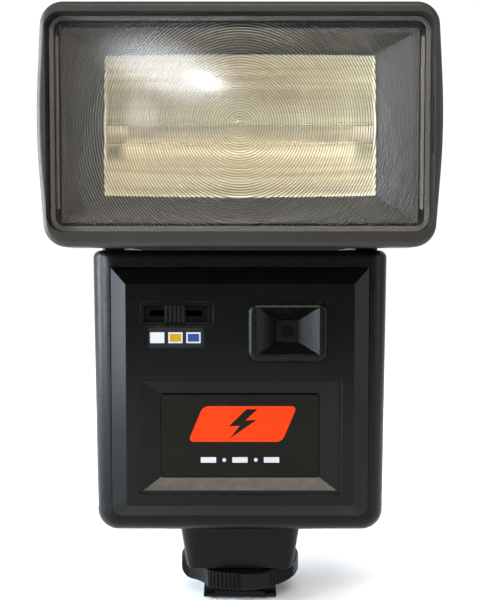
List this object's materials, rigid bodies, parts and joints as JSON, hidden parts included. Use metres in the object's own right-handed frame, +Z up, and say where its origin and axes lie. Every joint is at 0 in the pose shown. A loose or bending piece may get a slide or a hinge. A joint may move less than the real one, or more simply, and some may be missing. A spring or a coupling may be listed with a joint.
{
  "type": "flash gun",
  "caption": "Camera-top electronic flashgun: tilting head with a ribbed clear lens, box body with switch and light sensor, shoe foot with a lock ring.",
  "frame": {"origin": "centre of the sole of the shoe foot, the face that lies on the camera's shoe", "axes": "+Z up along the body, -Y the way the light leaves, +X to the right of someone facing the lens"},
  "size_m": [0.0876, 0.0624, 0.1422],
  "materials": {
    "case_black": "fine spark-eroded texture, near black",
    "panel_black": "fine spark-eroded texture, near black",
    "badge_black": "smooth semi-gloss black",
    "knob_black": "satin black, ribbed",
    "sensor_black": "satin black",
    "label_print": "black plate with white, yellow and blue marks",
    "table_print": "smooth black, printed with plain scales",
    "bezel_grey": "satin charcoal, a shade lighter than the case",
    "screw_black": "blackened steel",
    "clear_lens": "clear moulded acrylic with fine concentric prisms behind",
    "clear_window": "clear acrylic",
    "dark_window": "dark clear acrylic",
    "tube_glass": "clear quartz",
    "reflector_metal": "bright anodised",
    "steel": "bright zinc plate",
    "spring_steel": "bright wire",
    "contact_gold": "gold plate",
    "tungsten": "grey metal",
    "baffle_black": "smooth dark grey",
    "board_brown": "paper laminate with solder mask",
    "component_mix": "lacquered components",
    "ferrite": "dark ferrite with a taped winding",
    "capacitor_sleeve": "shrunk black sleeve",
    "cell_jacket": "printed metal jacket",
    "nickel": "nickel plate",
    "inner_black": "plain moulding",
    "silicone": "soft translucent silicone",
    "wire": "thin insulated lead",
    "lamp_amber": "clear amber",
    "lamp_green": "clear green",
    "button_grey": "smooth dark grey"
  },
  "bodies": {
    "body": {"shoe_foot": "case_black", "foot_screws": "steel", "contact_spring_centre": "spring_steel", "contact_spring_left": "spring_steel", "contact_spring_right": "spring_steel", "contact_carrier": "inner_black", "foot_block": "case_black", "front_shell": "case_black", "rear_shell": "case_black", "case_screws": "screw_black", "front_panel": "panel_black", "badge_plate": "badge_black", "mode_label": "label_print", "mode_switch": "inner_black", "sensor_housing": "sensor_black", "sensor_window": "dark_window", "light_sensor": "component_mix", "main_board": "board_brown", "board_parts": "component_mix", "transformer": "ferrite", "main_capacitor": "capacitor_sleeve", "capacitor_clamp": "inner_black", "battery_bay": "inner_black", "battery_cells": "cell_jacket", "battery_springs": "nickel", "contact_plates": "nickel", "exposure_table": "table_print", "scale_window": "clear_window", "scale_guide": "inner_black", "test_button_spring": "spring_steel", "control_board": "board_brown", "ready_lamp": "lamp_amber", "check_lamp": "lamp_green", "tilt_caps": "knob_black", "tilt_spring": "nickel", "body_leads": "wire"},
    "head": {"head_bezel": "bezel_grey", "lens_panel": "clear_lens", "lens_baffle": "baffle_black", "head_top_shell": "case_black", "head_bottom_shell": "case_black", "head_screws": "screw_black", "reflector": "reflector_metal", "flash_tube": "tube_glass", "tube_electrodes": "tungsten", "tube_boots": "silicone", "trigger_board": "board_brown", "trigger_coil": "component_mix", "tilt_disc": "nickel", "head_leads": "wire"},
    "mode_slider": {"mode_slider": "knob_black"},
    "film_speed_slide": {"film_speed_slide": "knob_black"},
    "power_switch": {"power_switch": "knob_black"},
    "test_button": {"test_button": "button_grey"},
    "battery_door": {"battery_door": "case_black"},
    "pressure_plate": {"pressure_plate": "steel"},
    "lock_ring": {"lock_ring": "knob_black"},
    "contact_pin_centre": {"contact_pin_centre": "contact_gold"},
    "contact_pin_left": {"contact_pin_left": "contact_gold"},
    "contact_pin_right": {"contact_pin_right": "contact_gold"}
  },
  "joints": [
    {"name": "head_tilt", "type": "hinge", "parent": "body", "child": "head", "pos_m": [0, 0.006, 0.1064], "axis": [-1, 0, 0], "range_deg": [0, 90], "deforming": ["tilt_spring"]},
    {"name": "mode_slide", "type": "slide", "parent": "body", "child": "mode_slider", "axis": [1, 0, 0], "range_m": [-0.0042, 0.0042]},
    {"name": "film_speed", "type": "slide", "parent": "body", "child": "film_speed_slide", "axis": [1, 0, 0], "range_m": [-0.007, 0.007]},
    {"name": "power", "type": "slide", "parent": "body", "child": "power_switch", "axis": [1, 0, 0], "range_m": [0, 0.0052]},
    {"name": "test_press", "type": "slide", "parent": "body", "child": "test_button", "axis": [0, -1, 0], "range_m": [0, 0.0009], "stiffness_N_per_m": 150, "springref_m": -0.004, "deforming": ["test_button_spring"]},
    {"name": "door_slide", "type": "slide", "parent": "body", "child": "battery_door", "axis": [0, 0, -1], "range_m": [0, 0.055]},
    {"name": "clamp_travel", "type": "slide", "parent": "body", "child": "pressure_plate", "axis": [0, 0, -1], "range_m": [0, 0.001]},
    {"name": "lock_turn", "type": "hinge", "parent": "pressure_plate", "child": "lock_ring", "pos_m": [0, 0, 0.0064], "axis": [0, 0, -1], "range_deg": [0, 360]},
    {"name": "centre_contact", "type": "slide", "parent": "body", "child": "contact_pin_centre", "axis": [0, 0, 1], "range_m": [0, 0.0006], "stiffness_N_per_m": 150, "springref_m": -0.003, "deforming": ["contact_spring_centre"]},
    {"name": "left_contact", "type": "slide", "parent": "body", "child": "contact_pin_left", "axis": [0, 0, 1], "range_m": [0, 0.0006], "stiffness_N_per_m": 150, "springref_m": -0.003, "deforming": ["contact_spring_left"]},
    {"name": "right_contact", "type": "slide", "parent": "body", "child": "contact_pin_right", "axis": [0, 0, 1], "range_m": [0, 0.0006], "stiffness_N_per_m": 150, "springref_m": -0.003, "deforming": ["contact_spring_right"]}
  ],
  "couplings": [
    {"joint": "lock_turn", "follows": "clamp_travel", "rad_per_m": 6283.2}
  ]
}
